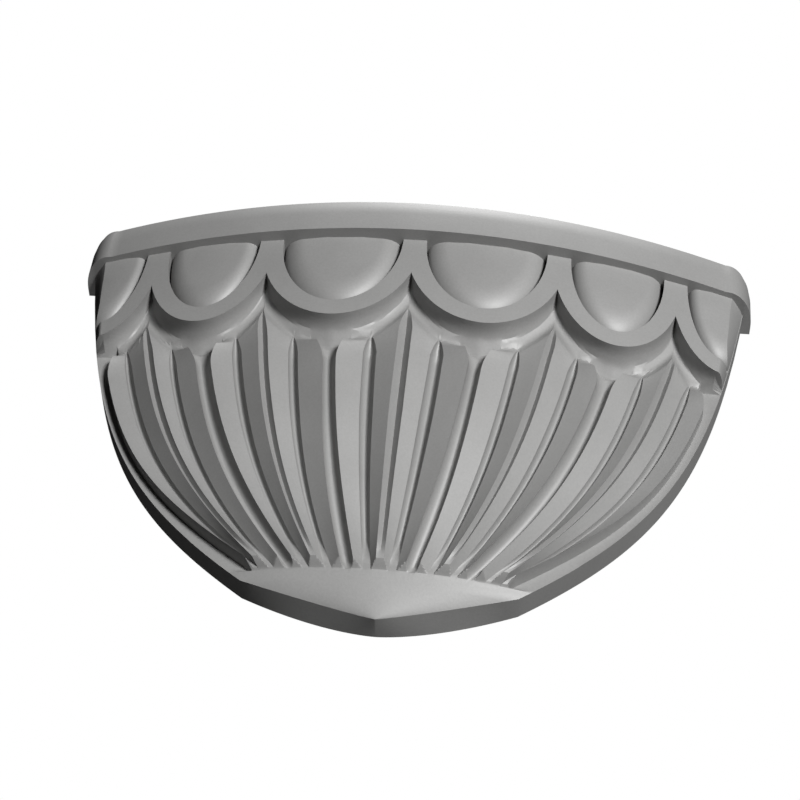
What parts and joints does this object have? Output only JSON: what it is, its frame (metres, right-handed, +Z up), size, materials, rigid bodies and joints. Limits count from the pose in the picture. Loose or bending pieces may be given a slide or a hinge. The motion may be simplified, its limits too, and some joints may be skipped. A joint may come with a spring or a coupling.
{
  "type": "carved wall bracket",
  "caption": "Half-round wall bracket: a bowed shelf plate over a scalloped collar with eggs, and fluted leaves narrowing to a shallow pointed foot, flat at the back.",
  "frame": {"origin": "on the flat back, in the middle of the width, level with the underside of the shelf plate", "axes": "+X along the wall to the right seen from the front, +Y into the wall, +Z up; the front is towards -Y"},
  "size_m": [0.33, 0.0569, 0.2232],
  "materials": {
    "cast_stone": "matt, finely grained"
  },
  "bodies": {
    "root": {"carved_bracket": "cast_stone"}
  },
  "joints": []
}
